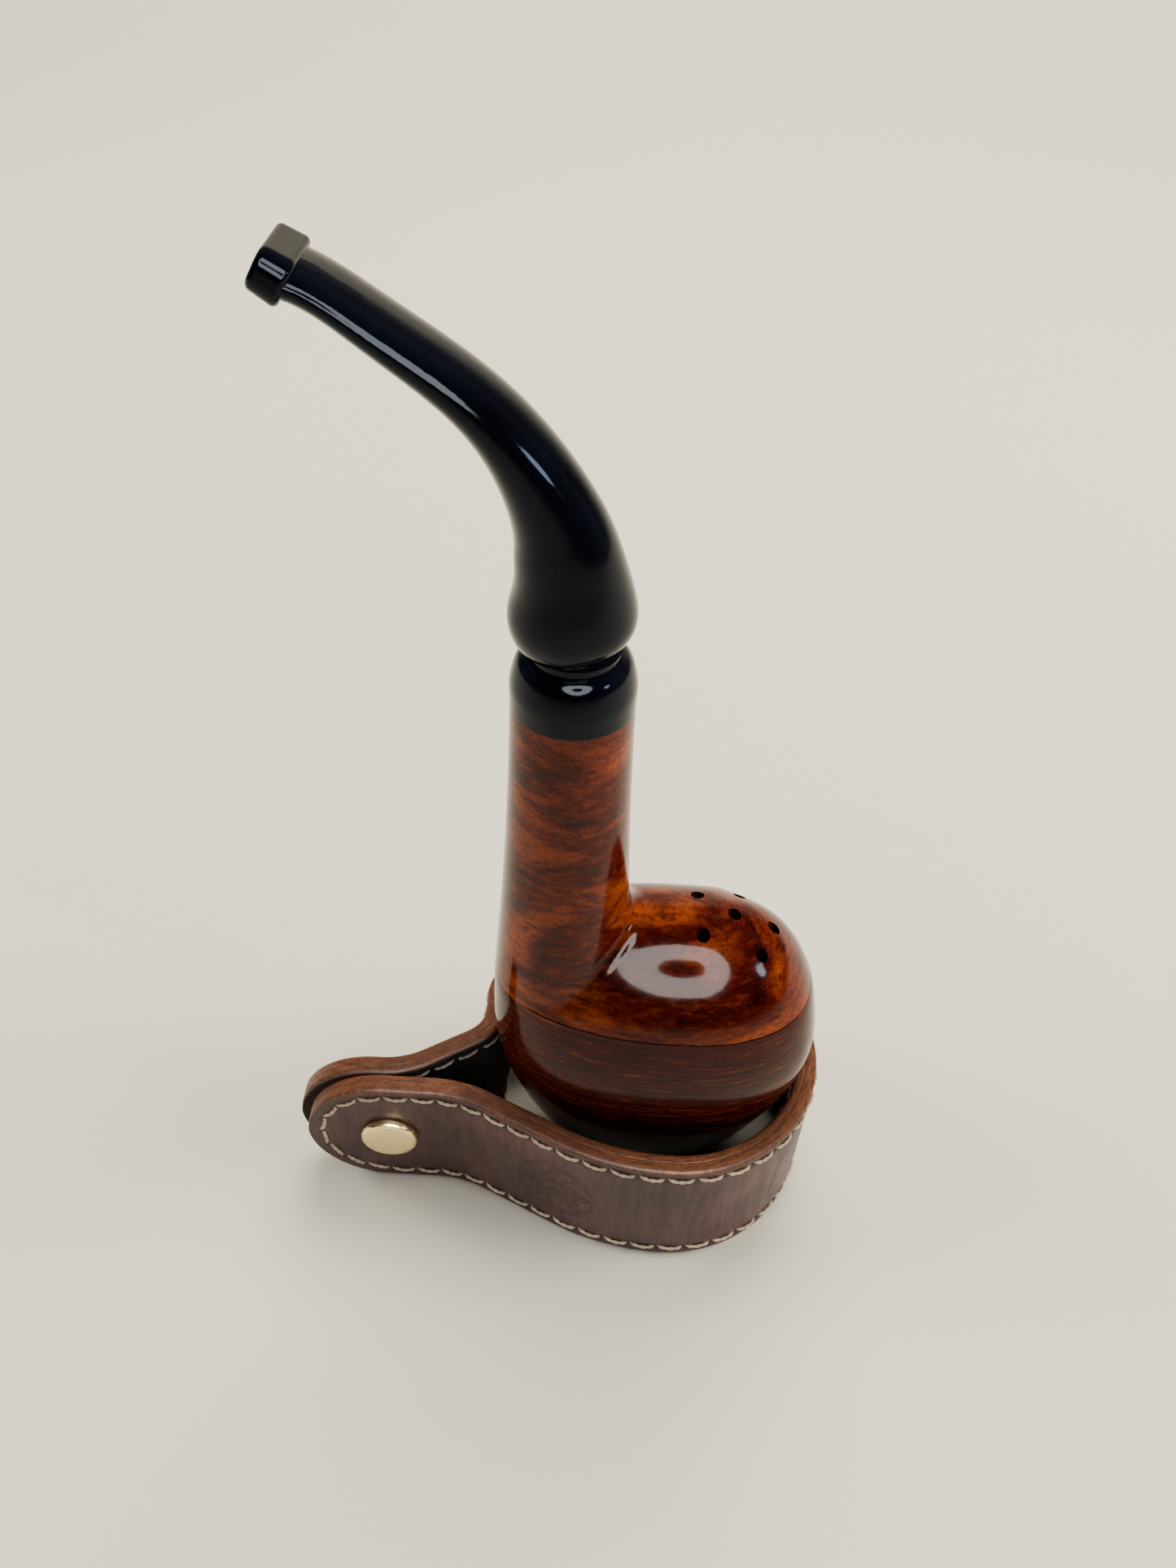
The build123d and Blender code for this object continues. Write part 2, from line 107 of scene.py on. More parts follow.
# Stage, in metres. All lamps aim at one place. Each has a place, a size, a power in watts and a tint, and
# the last entry says whether it shows in polished surfaces.
AIM = (0.0, 0.0, 0.06)
LAMPS = (("overhead", (0.10, 0.62, 0.95), 0.80, 17.0, (1.0, 0.96, 0.91), False),
         ("window", (-0.85, 0.10, 0.60), 0.60, 9.0, (0.95, 0.97, 1.0), False),
         ("room", (0.85, 0.05, 0.65), 0.55, 13.0, (1.0, 0.97, 0.91), False),
         ("pane", (0.60, -0.28, 0.34), 0.13, 1.2, (0.72, 0.84, 1.0), True))
RING_PLACE = (0.075, -0.46, 0.45)
RING_OUTER = 0.26
RING_INNER = 0.085
RING_STRENGTH = 24.0
RING_TINT = (1.0, 0.93, 0.88, 1)
ROOM_FRONT = (0.030, 0.036, 0.052, 1)
ROOM_BACK = (0.62, 0.64, 0.66, 1)
ROOM_STRENGTH = 0.55
FLOOR_FRONT = -2.4
FLOOR_DEPTH = 0.9
FLOOR_BEND = 0.35
FLOOR_BEND_STEPS = 16
BACKDROP_HEIGHT = 1.4
FLOOR_HALF_WIDTH = 2.4
FLOOR_SINK = 0.00002       # keeps the floor just under the feet

# Camera: its place in mm from the foot of the shank's axis, its angles in degrees down from level and of
# roll, and its sensor and focal length in mm.
CAMERA_PLACE = (2.5, -117.5, 192.1)
CAMERA_PITCH = 42.6
CAMERA_ROLL = 3.1
SENSOR = 36
FOCAL_LENGTH = SENSOR * 1447 / 1927


# ---- what a user can change ----------------------------------------------------------------
class StandSizes(bpy.types.PropertyGroup):
    """Sizes of the leather stand"""

    height: bpy.props.FloatProperty(name="Strap height", description="Width of the strap as it stands",
                                    default=26.2 * MM, unit="LENGTH")
    outer_ply: bpy.props.FloatProperty(name="Outer leather", description="Thickness of the outer leather",
                                       default=1.9 * MM, unit="LENGTH")
    lining_ply: bpy.props.FloatProperty(name="Lining", description="Thickness of the lining leather",
                                        default=1.5 * MM, unit="LENGTH")
    edge_round: bpy.props.FloatProperty(name="Edge rounding", description="Radius of the burnished edge",
                                        default=0.75 * MM, unit="LENGTH")
    stitch_pitch: bpy.props.FloatProperty(name="Stitch pitch", description="Distance between stitch holes",
                                          default=4.4 * MM, unit="LENGTH")
    thread: bpy.props.FloatProperty(name="Thread", description="Diameter of one strand of the thread",
                                    default=0.5 * MM, unit="LENGTH")
    row_low: bpy.props.FloatProperty(name="Lower row", description="Height of the lower row of stitches",
                                     default=2.4 * MM, unit="LENGTH")
    row_high: bpy.props.FloatProperty(name="Upper row", description="Height of the upper row of stitches",
                                      default=24.2 * MM, unit="LENGTH")
    rosette: bpy.props.FloatProperty(name="Rosette", description="Diameter of the embossed rosette",
                                     default=15 * MM, unit="LENGTH")


def colour(name, about, rgb):
    """A colour that a user can change."""
    return bpy.props.FloatVectorProperty(name=name, description=about, default=rgb, subtype="COLOR",
                                         size=3, min=0, max=1)


class FinishColours(bpy.types.PropertyGroup):
    """Colours of the finishes"""

    briar_deep: colour("Briar, deep", "Darkest figure of the upper wood", (0.014, 0.0008, 0.0006))
    briar_red: colour("Briar, red", "Main colour of the upper wood", (0.070, 0.0042, 0.0014))
    briar_gold: colour("Briar, gold", "Brightest figure of the upper wood", (0.27, 0.046, 0.006))
    cup_deep: colour("Cup, deep", "Darkest grain of the lower wood", (0.010, 0.0010, 0.0008))
    cup_red: colour("Cup, red", "Main colour of the lower wood", (0.044, 0.0040, 0.0016))
    leather: colour("Leather", "Outer face of the strap", (0.064, 0.026, 0.026))
    leather_edge: colour("Leather edge", "Burnished edges of the strap", (0.160, 0.050, 0.018))
    # The lining colour is partly the leather's own dark tone and partly painted shade for the inside of the
    # loop.
    lining: colour("Lining", "Inside of the strap", (0.012, 0.0045, 0.0035))
    thread: colour("Thread", "Waxed thread", (0.56, 0.42, 0.25))
    brass: colour("Brass", "Rivet and fittings", (0.83, 0.66, 0.34))
    floor: colour("Floor", "Floor and backdrop", (0.76, 0.70, 0.555))


# ---- finishes ------------------------------------------------------------------------------
class Finish:
    """A node material under construction, with its shader and its coordinates in millimetres."""

    def __init__(self, name, coordinates="Object"):
        self.material = bpy.data.materials.new(name)
        self.material.use_nodes = True
        self.tree = self.material.node_tree
        self.tree.nodes.clear()
        self.shader = self.add("ShaderNodeBsdfPrincipled")
        output = self.add("ShaderNodeOutputMaterial")
        self.link(self.shader.outputs[0], output.inputs[0])
        self.place = self.add("ShaderNodeTexCoord").outputs[coordinates]

    def add(self, kind, **settings):
        node = self.tree.nodes.new(kind)
        for key, value in settings.items():
            if key in node.inputs:
                node.inputs[key].default_value = value
            else:
                setattr(node, key, value)
        return node

    def link(self, source, target):
        self.tree.links.new(source, target)

    def scaled(self, x, y, z):
        """Coordinates with this many pattern units to the millimetre in each direction."""
        node = self.add("ShaderNodeMapping")
        node.inputs["Scale"].default_value = (x / MM, y / MM, z / MM)
        self.link(self.place, node.inputs["Vector"])
        return node.outputs[0]

    def noise(self, scaled, detail=4.0, roughness=0.55, distortion=0.0):
        node = self.add("ShaderNodeTexNoise", Scale=1.0, Detail=detail, Roughness=roughness,
                        Distortion=distortion)
        self.link(scaled, node.inputs["Vector"])
        return node.outputs["Fac"]

    def ramp(self, source, *stops):
        """A ramp through (place, value or colour) stops."""
        node = self.add("ShaderNodeValToRGB")
        points = node.color_ramp.elements
        while len(points) < len(stops):
            points.new(0.5)
        for point, (place, value) in zip(points, stops):
            point.position = place
            if isinstance(value, (int, float)):
                value = (value, value, value)
            point.color = (*value, 1)
        self.link(source, node.inputs[0])
        return node.outputs[0]

    def mix(self, share, first, second, blend="MIX"):
        node = self.add("ShaderNodeMix", data_type="RGBA", blend_type=blend)
        self.put(share, node.inputs[0])
        self.put(first, node.inputs[6])
        self.put(second, node.inputs[7])
        return node.outputs[2]

    def times(self, first, second):
        node = self.add("ShaderNodeMath", operation="MULTIPLY")
        self.put(first, node.inputs[0])
        self.put(second, node.inputs[1])
        return node.outputs[0]

    def put(self, value, socket):
        """Links an output to a socket, or sets the socket to a number or colour."""
        if isinstance(value, bpy.types.NodeSocket):
            self.link(value, socket)
        elif isinstance(value, (tuple, list)) and len(value) == 3:
            socket.default_value = (*value, 1)
        else:
            socket.default_value = value

    def bump(self, height, distance, strength=1.0, under=None):
        node = self.add("ShaderNodeBump", Strength=strength, Distance=distance * MM)
        self.link(height, node.inputs["Height"])
        if under:
            self.link(under, node.inputs["Normal"])
        return node.outputs[0]

    def finish(self, colour_source, roughness, normal=None, **fixed):
        """Joins colour, roughness and normal to the shader and sets its fixed values."""
        self.put(colour_source, self.shader.inputs["Base Color"])
        self.put(roughness, self.shader.inputs["Roughness"])
        if normal:
            self.link(normal, self.shader.inputs["Normal"])
        for key, value in fixed.items():
            self.shader.inputs[key.replace("_", " ")].default_value = value
        return self.material


def tone(name, strength=1.0):
    """One of the finish colours, made darker or paler, each part at most 1."""
    return tuple(min(1.0, v * strength) for v in getattr(bpy.context.scene.pipe_finishes, name))


def upper_briar():
    """Glossy red briar: orange bands up the shank and golden flecks over the dome."""
    f = Finish("upper_briar")
    bands = f.noise(f.scaled(0.050, 0.050, 0.13), 5, 0.6, 1.1)
    flecks = f.noise(f.scaled(0.30, 0.30, 1.0), 6, 0.68, 0.5)
    pores = f.noise(f.scaled(1.1, 1.1, 4.5), 3, 0.6)
    base = f.ramp(bands, (0.30, tone("briar_deep")), (0.47, tone("briar_red")), (0.68, tone("briar_gold")))
    glow = f.ramp(flecks, (0.52, 0.0), (0.74, 0.55))
    base = f.mix(glow, base, tone("briar_gold"))
    dark = f.ramp(flecks, (0.34, 0.80), (0.46, 0.0))
    base = f.mix(dark, base, tone("briar_deep"))
    fine = f.ramp(pores, (0.36, 0.45), (0.52, 1.0))
    base = f.mix(1.0, base, fine, "MULTIPLY")
    polish = f.ramp(f.noise(f.scaled(0.5, 0.5, 0.5), 4), (0.3, 0.07), (0.7, 0.15))
    normal = f.bump(pores, 0.02, 0.12)
    return f.finish(base, polish, normal, Coat_Weight=0.11, Coat_Roughness=0.05, Specular_IOR_Level=0.08)


def lower_briar():
    """Glossy dark briar with fine grain running round the cup."""
    f = Finish("lower_briar")
    sweep = f.noise(f.scaled(0.05, 0.05, 0.13), 3, 0.5, 0.6)
    grain = f.noise(f.scaled(0.12, 0.12, 1.9), 5, 0.62, 0.9)
    base = f.ramp(grain, (0.32, tone("cup_deep")), (0.56, tone("cup_red")), (0.80, tone("briar_gold")))
    warm = f.ramp(sweep, (0.50, 0.0), (0.72, 0.45))
    base = f.mix(warm, base, tone("briar_red"))
    pores = f.noise(f.scaled(0.8, 0.8, 6.0), 3, 0.6)
    base = f.mix(1.0, base, f.ramp(pores, (0.35, 0.5), (0.55, 1.0)), "MULTIPLY")
    polish = f.ramp(f.noise(f.scaled(0.4, 0.4, 0.4), 4), (0.3, 0.09), (0.7, 0.18))
    normal = f.bump(pores, 0.02, 0.12)
    return f.finish(base, polish, normal, Coat_Weight=0.10, Coat_Roughness=0.08, Specular_IOR_Level=0.08)


def black_acrylic():
    """Polished bluish black with hair scratches; its reflections are tinted blue, a painted cool reflection.
    """
    f = Finish("black_acrylic_polish")
    clouds = f.noise(f.scaled(0.08, 0.08, 0.08), 3)
    base = f.ramp(clouds, (0.35, (0.0012, 0.0014, 0.0024)), (0.70, (0.0025, 0.0034, 0.0075)))
    hair = f.noise(f.scaled(0.6, 5.0, 0.8), 4, 0.7)
    polish = f.ramp(hair, (0.35, 0.045), (0.75, 0.13))
    # Painted reflection: the specular tint colours every reflection blue, as if the room light were cool.
    return f.finish(base, polish, f.bump(hair, 0.01, 0.05), Specular_IOR_Level=0.12,
                    Specular_Tint=(0.70, 0.82, 1.0, 1))


def strap_face():
    """Satin dark leather with a fine grain and soft creases, with shade painted into the creases."""
    f = Finish("strap_face")
    cloud = f.noise(f.scaled(0.06, 0.06, 0.09), 4, 0.55)
    pebble = f.noise(f.scaled(2.6, 2.6, 2.6), 3, 0.6)
    crease_and_shade = f.noise(f.scaled(0.75, 0.75, 0.12), 5, 0.65, 0.7)
    deep = tone("leather", 0.62)
    pale = tone("leather", 1.75)
    base = f.ramp(cloud, (0.30, deep), (0.52, tone("leather")), (0.78, pale))
    # Painted shade: the colour is darkened where the crease noise is low, in the same hollows its bump
    # presses in.
    base = f.mix(0.4, base, f.ramp(crease_and_shade, (0.36, 0.40), (0.58, 1.0)), "MULTIPLY")
    rough = f.ramp(crease_and_shade, (0.30, 0.52), (0.70, 0.36))
    soft = f.bump(crease_and_shade, 0.22, 0.35)
    return f.finish(base, rough, f.bump(pebble, 0.06, 0.30, soft), Specular_IOR_Level=0.26)


def strap_edge():
    """Burnished, fibrous cut edge."""
    f = Finish("strap_edge", "UV")
    fibre = f.noise(f.scaled(0.35, 2.4, 1.0), 6, 0.72, 0.4)
    fleck = f.noise(f.scaled(1.5, 3.4, 1.0), 4, 0.7)
    cloud = f.noise(f.scaled(0.05, 0.05, 1.0), 3)
    deep = tone("leather_edge", 0.22)
    pale = tone("leather_edge", 2.0)
    base = f.ramp(fibre, (0.33, deep), (0.52, tone("leather_edge")), (0.74, pale))
    base = f.mix(f.ramp(fleck, (0.36, 0.85), (0.52, 0.0)), base, deep)
    base = f.mix(f.ramp(cloud, (0.40, 0.55), (0.62, 0.0)), base, deep)
    rough = f.ramp(fibre, (0.3, 0.55), (0.7, 0.34))
    return f.finish(base, rough, f.bump(fibre, 0.14, 0.6), Specular_IOR_Level=0.3)


def strap_lining():
    """Matt, brushed inside of the leather, its colour darkened past its own tone to paint in the shade inside
    the loop.
    """
    f = Finish("strap_inside")
    nap = f.noise(f.scaled(1.2, 1.2, 1.2), 5, 0.7)
    pale = tone("lining", 1.8)
    deep = tone("lining", 0.5)
    base = f.ramp(nap, (0.32, deep), (0.50, tone("lining")), (0.75, pale))
    rough = f.ramp(nap, (0.3, 0.85), (0.7, 0.6))
    return f.finish(base, rough, f.bump(nap, 0.12, 0.5), Specular_IOR_Level=0.1)


def waxed_thread():
    """Pale fibrous thread, dirty in places."""
    f = Finish("waxed_thread_fibre")
    fibre = f.noise(f.scaled(2.0, 2.0, 2.0), 5, 0.7)
    dirt = f.noise(f.scaled(0.12, 0.12, 0.12), 3)
    deep = tone("thread", 0.45)
    pale = tone("thread", 1.3)
    base = f.ramp(fibre, (0.32, deep), (0.50, tone("thread")), (0.70, pale))
    base = f.mix(f.ramp(dirt, (0.35, 0.6), (0.55, 0.0)), base, deep)
    return f.finish(base, f.ramp(fibre, (0.3, 0.7), (0.7, 0.5)), f.bump(fibre, 0.06, 0.6))


def polished_brass():
    """Bright brass with scratches and a few dull spots."""
    f = Finish("polished_brass_face")
    scratch = f.noise(f.scaled(0.5, 0.5, 6.0), 4, 0.7, 0.3)
    cross = f.noise(f.scaled(5.0, 0.5, 0.5), 4, 0.7, 0.3)
    spots = f.noise(f.scaled(0.9, 0.9, 0.9), 4, 0.6)
    deep = tone("brass", 0.62)
    base = f.mix(f.ramp(spots, (0.60, 0.0), (0.72, 0.7)), tone("brass"), deep)
    rough = f.times(f.ramp(scratch, (0.35, 0.20), (0.7, 0.42)), f.ramp(cross, (0.35, 0.7), (0.7, 1.0)))
    return f.finish(base, rough, f.bump(scratch, 0.01, 0.25), Metallic=1.0)


def plain_finish(name, rgb, rough, metallic=0.0, grain=1.2, depth=0.03):
    """A quiet finish for the inner parts: a grain in colour, gloss and height."""
    f = Finish(name)
    grains = f.noise(f.scaled(grain, grain, grain * 1.6), 4, 0.6)
    deep = tuple(v * 0.7 for v in rgb)
    pale = tuple(min(1.0, v * 1.15) for v in rgb)
    base = f.ramp(grains, (0.3, deep), (0.7, pale))
    gloss = f.ramp(grains, (0.3, rough * 0.75), (0.7, min(1.0, rough * 1.2)))
    return f.finish(base, gloss, f.bump(grains, depth, 0.4), Metallic=metallic)


def stage_floor():
    """Plain pale matt floor, very slightly clouded."""
    f = Finish("stage_floor")
    cloud = f.noise(f.scaled(0.004, 0.004, 0.004), 3)
    base = f.ramp(cloud, (0.3, tone("floor", 0.985)), (0.7, tone("floor")))
    return f.finish(base, 0.75, None, Specular_IOR_Level=0.2)


# ---- making meshes -------------------------------------------------------------------------
def mesh_piece(name, points, faces, materials, face_materials=None, uvs=None):
    """A smooth-shaded object from points and faces."""
    mesh = bpy.data.meshes.new(name)
    mesh.from_pydata(points, [], faces)
    for material in materials:
        mesh.materials.append(material)
    if face_materials:
        mesh.polygons.foreach_set("material_index", face_materials)
    if uvs:
        layer = mesh.uv_layers.new(name="along_strap")
        for loop in mesh.loops:
            layer.data[loop.index].uv = uvs[loop.vertex_index]
    mesh.polygons.foreach_set("use_smooth", [True] * len(mesh.polygons))
    mesh.update()
    piece = bpy.data.objects.new(name, mesh)
    bpy.context.scene.collection.objects.link(piece)
    return piece


def ring_faces(rings, size, flip=False):
    """Faces of a closed form made of equal rings of points, with a cap at each end."""
    faces = []
    for i in range(rings - 1):
        near, far = i * size, (i + 1) * size
        for j in range(size):
            k = (j + 1) % size
            if flip:
                faces.append((near + j, far + j, far + k, near + k))
            else:
                faces.append((near + j, near + k, far + k, far + j))
    last = (rings - 1) * size
    caps = (tuple(reversed(range(size))), tuple(range(last, last + size)))
    faces += [cap[::-1] if flip else cap for cap in caps]
    return faces


def arc_corner(before, corner, after, radius, step):
    """Points along the arc that rounds a corner, ends included."""
    back = (before - corner).normalized()
    on = (after - corner).normalized()
    half = back.angle(on) / 2
    reach = radius / math.tan(half)
    centre = corner + (back + on).normalized() * (radius / math.sin(half))
    start = corner + back * reach - centre
    sweep = math.pi - 2 * half
    if back.x * on.y - back.y * on.x > 0:
        sweep = -sweep
    count = max(3, round(abs(sweep) * radius / step))
    return [centre + Matrix.Rotation(sweep * i / count, 2) @ start for i in range(count + 1)]


def strap_path(step=PATH_STEP):
    """Evenly spaced (distance, point, outward normal) along the strap's middle line."""
    corners = [Vector((x + SHANK_X, y + SHANK_Y)) * MM for x, y in STRAP_CORNERS]
    line = [corners[0]]
    for i, radius in enumerate(CORNER_RADII):
        line += arc_corner(corners[i], corners[i + 1], corners[i + 2], radius * MM, step)
    line.append(corners[-1])
    lengths = [0.0]
    for a, b in zip(line, line[1:]):
        lengths.append(lengths[-1] + (b - a).length)
    count = round(lengths[-1] / step)
    path = []
    at = 0
    for i in range(count + 1):
        distance = lengths[-1] * i / count
        while at < len(line) - 2 and lengths[at + 1] < distance:
            at += 1
        span = max(lengths[at + 1] - lengths[at], 1e-9)
        point = line[at].lerp(line[at + 1], (distance - lengths[at]) / span)
        path.append((distance, point))
    result = []
    for i, (distance, point) in enumerate(path):
        ahead = path[min(i + 2, count)][1] - path[max(i - 2, 0)][1]
        ahead.normalize()
        result.append((distance, point, Vector((ahead.y, -ahead.x))))
    return result


def smooth_step(low, high, value):
    """0 below the low value, 1 above the high one, with an eased rise between."""
    t = min(1.0, max(0.0, (value - low) / (high - low)))
    return t * t * (3 - 2 * t)


def hump(value, middle, width):
    """A soft bump that is 1 at the middle and dies away over the width."""
    return math.exp(-((value - middle) / width) ** 2)


def rosette_depth(u, v, radius):
    """How far the embossed rosette is pressed in at a place from its centre, from 0 to 1."""
    r = math.hypot(u, v) / radius
    if r > 1.0:
        return 0.0
    angle = math.atan2(v, u)
    ring = hump(r, 0.86, 0.055)
    inner_ring = hump(r, 0.30, 0.05)
    petal = hump(r, 0.60 + 0.16 * math.cos(8 * angle), 0.06)
    vein = math.exp(-(math.sin(4 * angle) * r / 0.07) ** 2)
    vein *= smooth_step(0.34, 0.44, r) * (1 - smooth_step(0.60, 0.72, r))
    bead = math.exp(-(r / 0.12) ** 2)
    return min(1.0, ring + inner_ring + 0.9 * petal + 0.6 * vein + bead)


class Strap:
    """The strap's path with everything that is laid out along it, worked out once."""

    def __init__(self):
        sizes = bpy.context.scene.pipe_stand
        self.sizes = sizes
        self.path = strap_path()
        self.length = self.path[-1][0]
        self.height = sizes.height
        self.thick = sizes.outer_ply + sizes.lining_ply
        run_in = self.height / 2
        count = round((self.length - 2 * run_in) / sizes.stitch_pitch)
        self.seams = []
        for row in (sizes.row_low, sizes.row_high):
            pitch = (self.length - 2 * run_in) / count
            self.seams += [((run_in + pitch * i, row), (run_in + pitch * (i + 1), row)) for i in range(count)]
        turn_r = (sizes.row_high - sizes.row_low) / 2
        middle = (sizes.row_high + sizes.row_low) / 2
        around = round(math.pi * turn_r / sizes.stitch_pitch)
        for centre, side in ((run_in, -1), (self.length - run_in, 1)):
            ring = []
            for i in range(around + 1):
                angle = -QUARTER_TURN + math.pi * i / around
                ring.append((centre + side * turn_r * math.cos(angle), middle + turn_r * math.sin(angle)))
            self.seams += list(zip(ring, ring[1:]))
        self.holes = sorted({(round(s, 6), round(z, 6)) for seam in self.seams for s, z in seam})

    def at(self, s):
        """Point and outward normal at a distance along the strap."""
        place = min(max(s / self.length, 0.0), 1.0) * (len(self.path) - 1)
        i = min(int(place), len(self.path) - 2)
        t = place - i
        point = self.path[i][1].lerp(self.path[i + 1][1], t)
        normal = self.path[i][2].lerp(self.path[i + 1][2], t).normalized()
        return point, normal

    def place(self, s, offset, z):
        """The place at a distance along the strap, outward from its middle line and above the floor."""
        point, normal = self.at(s)
        flat = point + normal * offset
        return Vector((flat.x, flat.y, z))

    def half_height(self, s):
        """Half the strap's height, which closes to a half circle at each end."""
        r = self.height / 2
        end = min(s, self.length - s)
        if end >= r:
            return r
        return math.sqrt(max(r * r - (r - end) ** 2, 0.0))


FACE, EDGE, BACK = 0, 1, 2


def quarter_round(steps):
    """Sine and cosine at even turns through a right angle, its ends left out."""
    return [(math.sin(QUARTER_TURN * i / steps), math.cos(QUARTER_TURN * i / steps)) for i in range(1, steps)]


def ply_section(inner, outer, rounds, half):
    """One closed section of a layer: offset, height from the middle and part of each point."""
    inner_round, outer_round = rounds
    outer_reach = min(outer_round, half * 0.7)
    inner_reach = min(inner_round, half * 0.5)
    section = []
    for i in range(FACE_ROWS + 1):
        z = -1 + 2 * i / FACE_ROWS
        section.append((outer, z * max(half - outer_round, half * 0.3), FACE))
    for sine, cosine in quarter_round(OUTER_ROUND_STEPS):
        section.append((outer - outer_round * (1 - cosine), half - outer_reach * (1 - sine), EDGE))
    section.append((outer - outer_round, half, EDGE))
    section.append((inner + inner_round, half, EDGE))
    for sine, cosine in quarter_round(INNER_ROUND_STEPS):
        section.append((inner + inner_round * (1 - sine), half - inner_reach * (1 - cosine), EDGE))
    for i in range(BACK_ROWS + 1):
        section.append((inner, (1 - 2 * i / BACK_ROWS) * max(half - inner_round, half * 0.3), BACK))
    for sine, cosine in quarter_round(INNER_ROUND_STEPS):
        section.append((inner + inner_round * (1 - cosine), -half + inner_reach * (1 - sine), EDGE))
    section.append((inner + inner_round, -half, EDGE))
    section.append((outer - outer_round, -half, EDGE))
    for sine, cosine in quarter_round(OUTER_ROUND_STEPS):
        section.append((outer - outer_round * (1 - sine), -half + outer_reach * (1 - cosine), EDGE))
    return section


def ply_mesh(strap, name, inner, outer, rounds, dents, materials):
    """One layer of leather as a closed mesh, with rounded edges and its pressed details."""
    r = strap.height / 2
    tail = [r * (1 - math.cos(QUARTER_TURN * i / TAIL_STATIONS)) for i in range(1, TAIL_STATIONS)]
    middle = [r + (strap.length - 2 * r) * i / LOOP_STATIONS for i in range(LOOP_STATIONS + 1)]
    stations = tail + middle + [strap.length - s for s in reversed(tail)]
    points, uvs = [], []
    for s in stations:
        section = ply_section(inner, outer, rounds, strap.half_height(s))
        for offset, z, part in section:
            height = z + r
            if part == FACE and dents:
                offset -= dents(s, height)
            points.append(strap.place(s, offset, height))
            uvs.append((s, offset + abs(z)))
    parts = [part for _, _, part in section]
    size = len(section)
    faces = ring_faces(len(stations), size, flip=True)
    face_materials = []
    for _ in range(len(stations) - 1):
        for j in range(size):
            following = parts[(j + 1) % size]
            face_materials.append(parts[j] if parts[j] == following else EDGE)
    face_materials += [EDGE, EDGE]
    return mesh_piece(name, points, faces, materials, face_materials, uvs)


def tube_strand(points, radius, sides=6):
    """A closed tube along points, drawn in at both ends: returns its points and faces."""
    around = []
    count = len(points)
    for i, point in enumerate(points):
        ahead = (points[min(i + 1, count - 1)] - points[max(i - 1, 0)]).normalized()
        side = ahead.cross(Vector((0.03, 0.02, 1))).normalized()
        up = side.cross(ahead).normalized()
        share = i / (count - 1)
        size = radius * min(1.0, 0.35 + 6 * min(share, 1 - share))
        for j in range(sides):
            turn = FULL_TURN * j / sides
            around.append(point + side * (math.cos(turn) * size) + up * (math.sin(turn) * size))
    return around, ring_faces(count, sides)


def strand_line(strap, seam, strand, slant, inset, out, radius):
    """The middle line of one strand of a stitch, from hole to hole, on one face of the strap."""
    (s0, z0), (s1, z1) = seam
    length = math.hypot(s1 - s0, z1 - z0)
    along = ((s1 - s0) / length, (z1 - z0) / length)
    side = (-along[1], along[0])
    line = []
    for i in range(STRAND_STEPS + 1):
        t = i / STRAND_STEPS
        run = inset + (length - 2 * inset) * t
        bow = math.sin(math.pi * t)
        lift = -STITCH_SINK + (STITCH_SINK + radius * 0.75) * bow ** 0.45
        turn = FULL_TURN * (TWISTS * t + strand / 2)
        across = slant * (1 - 2 * t) - STITCH_BOW * bow + math.cos(turn) * radius * 0.62
        lift += math.sin(turn) * radius * 0.40
        s = s0 + along[0] * run + side[0] * across
        z = z0 + along[1] * run + side[1] * across
        line.append(strap.place(s, out * strap.thick / 2 + out * lift, z))
    return line


def turned_piece(name, profile, centre, axis, material, around=96):
    """A closed turning from (radius, height) points about an axis through a centre."""
    axis = Vector(axis).normalized()
    across = axis.orthogonal().normalized()
    other = axis.cross(across)
    points = []
    for radius, height in profile:
        for j in range(around):
            turn = FULL_TURN * j / around
            spoke = across * math.cos(turn) + other * math.sin(turn)
            points.append(Vector(centre) + axis * height + spoke * radius)
    return mesh_piece(name, points, ring_faces(len(profile), around), [material])


def give_finish(node, material):
    """Puts a finish on a CAD node that is shown as it is."""
    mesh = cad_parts[node].data
    if not mesh.materials:
        mesh.materials.append(material)
    for index in range(len(mesh.materials)):
        mesh.materials[index] = material


STRAP = []


def the_strap():
    """The strap, worked out at its first use."""
    if not STRAP:
        STRAP.append(Strap())
    return STRAP[0]


# ---- stage ---------------------------------------------------------------------------------
def light_room(world):
    """A dim room: pale behind and beside the object, dark in front of it."""
    tree = world.node_tree
    place = tree.nodes.new("ShaderNodeTexCoord")
    split = tree.nodes.new("ShaderNodeSeparateXYZ")
    ramp = tree.nodes.new("ShaderNodeValToRGB")
    spread = tree.nodes.new("ShaderNodeMapRange")
    spread.inputs["From Min"].default_value = -1.0
    spread.inputs["From Max"].default_value = 1.0
    tree.links.new(place.outputs["Generated"], split.inputs[0])
    tree.links.new(split.outputs["Y"], spread.inputs["Value"])
    tree.links.new(spread.outputs[0], ramp.inputs[0])
    points = ramp.color_ramp.elements
    points[0].position, points[0].color = 0.30, ROOM_FRONT
    points[1].position, points[1].color = 0.75, ROOM_BACK
    tree.links.new(ramp.outputs[0], tree.nodes["Background"].inputs[0])
    tree.nodes["Background"].inputs[1].default_value = ROOM_STRENGTH


def aim(lamp, place):
    """Puts a lamp at a place and turns it towards the object."""
    lamp.location = place
    lamp.rotation_euler = (Vector(AIM) - Vector(place)).to_track_quat("-Z", "Y").to_euler()
    lamp.visible_camera = False


def disk_lamp(name, place, size, power, tint, shows):
    """A soft round lamp."""
    light = bpy.data.lights.new(name, "AREA")
    light.shape = "DISK"
    light.size = size
    light.energy = power
    light.color = tint
    lamp = bpy.data.objects.new(name, light)
    aim(lamp, place)
    lamp.visible_glossy = shows
    bpy.context.scene.collection.objects.link(lamp)


